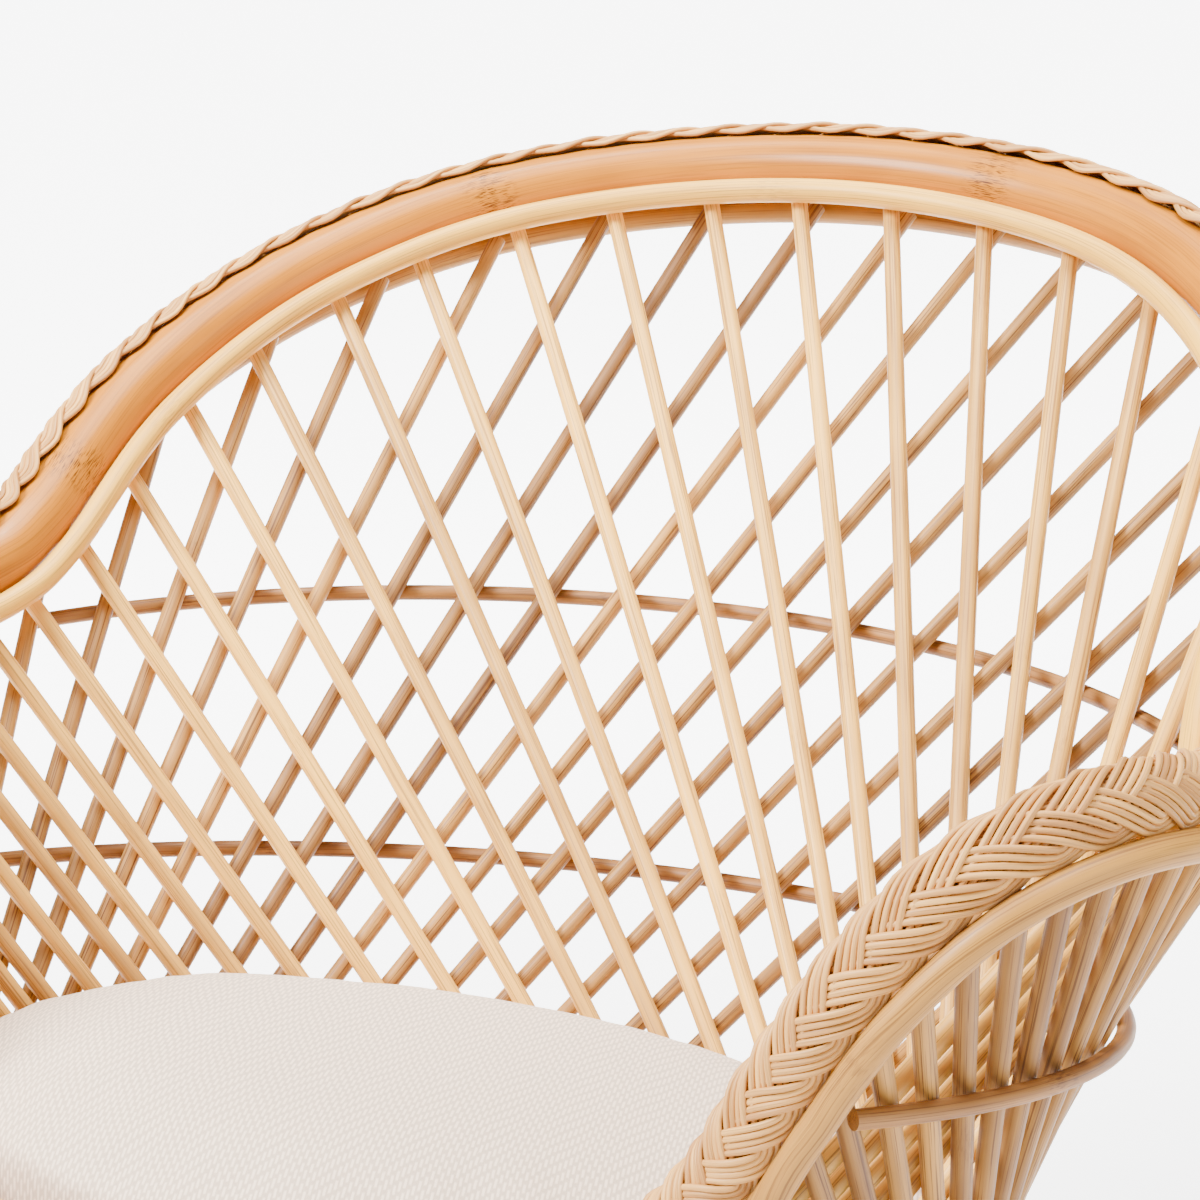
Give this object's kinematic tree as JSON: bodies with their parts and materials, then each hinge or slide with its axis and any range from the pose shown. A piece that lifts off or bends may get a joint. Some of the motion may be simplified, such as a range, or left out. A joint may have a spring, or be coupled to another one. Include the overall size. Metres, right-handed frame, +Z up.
{
  "type": "peacock chair",
  "caption": "Hourglass rattan armchair of crossed straight rods with a tall bent-pole back hoop, plaited rim and a loose round seat pad.",
  "frame": {"origin": "on the floor under the middle of the chair's whole width and depth", "axes": "+Z up, the seat faces -Y, +X to the right as seen by someone standing in front of the seat"},
  "size_m": [0.747, 0.8776, 0.7941],
  "materials": {
    "varnished_pole": "gloss varnish over skin-on rattan",
    "peeled_pole": "satin varnish over peeled rattan",
    "lattice_rod": "satin varnish over peeled rattan",
    "ring_rod": "satin",
    "plait": "satin split cane",
    "cane_deck": "matt woven cane",
    "cotton": "matt figured cotton"
  },
  "bodies": {
    "frame": {"lattice_panel_01": "lattice_rod", "lattice_panel_02": "lattice_rod", "lattice_panel_03": "lattice_rod", "lattice_panel_04": "lattice_rod", "lattice_panel_05": "lattice_rod", "lattice_panel_06": "lattice_rod", "lattice_panel_07": "lattice_rod", "lattice_panel_08": "lattice_rod", "lattice_panel_09": "lattice_rod", "lattice_panel_10": "lattice_rod", "lattice_panel_11": "lattice_rod", "lattice_panel_12": "lattice_rod", "lattice_panel_13": "lattice_rod", "lattice_panel_14": "lattice_rod", "lattice_panel_15": "lattice_rod", "lattice_panel_16": "lattice_rod", "lattice_panel_17": "lattice_rod", "lattice_panel_18": "lattice_rod", "lattice_panel_19": "lattice_rod", "lattice_panel_20": "lattice_rod", "lattice_panel_21": "lattice_rod", "lattice_panel_22": "lattice_rod", "lattice_panel_23": "lattice_rod", "lattice_panel_24": "lattice_rod", "hoop_pole": "varnished_pole", "hoop_braid": "plait", "hoop_inner_pole": "peeled_pole", "hoop_outer_pole": "peeled_pole", "arm_right_pole": "varnished_pole", "arm_right_braid": "plait", "arm_right_inner_pole": "peeled_pole", "arm_right_outer_pole": "peeled_pole", "arm_left_pole": "varnished_pole", "arm_left_braid": "plait", "arm_left_inner_pole": "peeled_pole", "arm_left_outer_pole": "peeled_pole", "front_pole": "varnished_pole", "front_braid": "plait", "front_inner_pole": "peeled_pole", "front_outer_pole": "peeled_pole", "upper_ring": "ring_rod", "lower_ring": "ring_rod", "waist_ring": "peeled_pole", "floor_hoop_inner": "peeled_pole", "floor_hoop_outer": "peeled_pole", "seat_hoop": "peeled_pole", "seat_bar_1": "peeled_pole", "seat_bar_2": "peeled_pole", "seat_bar_3": "peeled_pole", "seat_deck": "cane_deck"},
    "cushion": {"seat_cushion": "cotton"}
  },
  "joints": [
    {"name": "cushion_lift", "type": "slide", "parent": "frame", "child": "cushion", "axis": [0, 0, 1], "range_m": [0, 0.35]}
  ]
}
